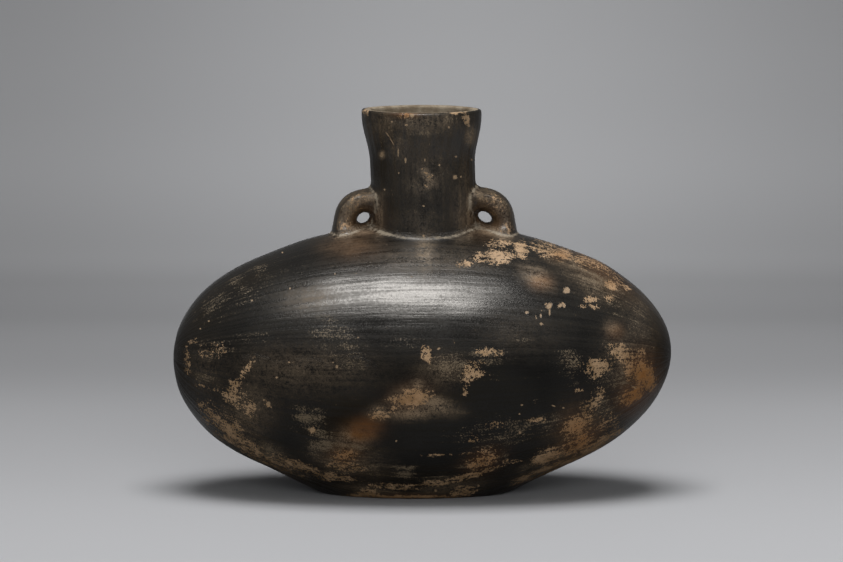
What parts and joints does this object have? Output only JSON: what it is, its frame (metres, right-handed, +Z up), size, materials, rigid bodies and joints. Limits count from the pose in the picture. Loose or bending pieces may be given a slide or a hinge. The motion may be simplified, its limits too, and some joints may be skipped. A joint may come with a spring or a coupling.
{
  "type": "two-handled jar",
  "caption": "Burnished black pottery jar with a long oval body on a flat base, a flared tubular neck and small pierced lugs beside the neck, worn and flaked.",
  "frame": {"origin": "centre of the jar's box, on the surface that the flat base stands on", "axes": "+X along the body's length, +Z up through the neck, -Y the front seen in the picture"},
  "size_m": [0.2708, 0.143, 0.2096],
  "materials": {
    "burnished_clay": "burnished black clay, worn to tan in patches"
  },
  "bodies": {
    "root": {"jar": "burnished_clay"}
  },
  "joints": []
}
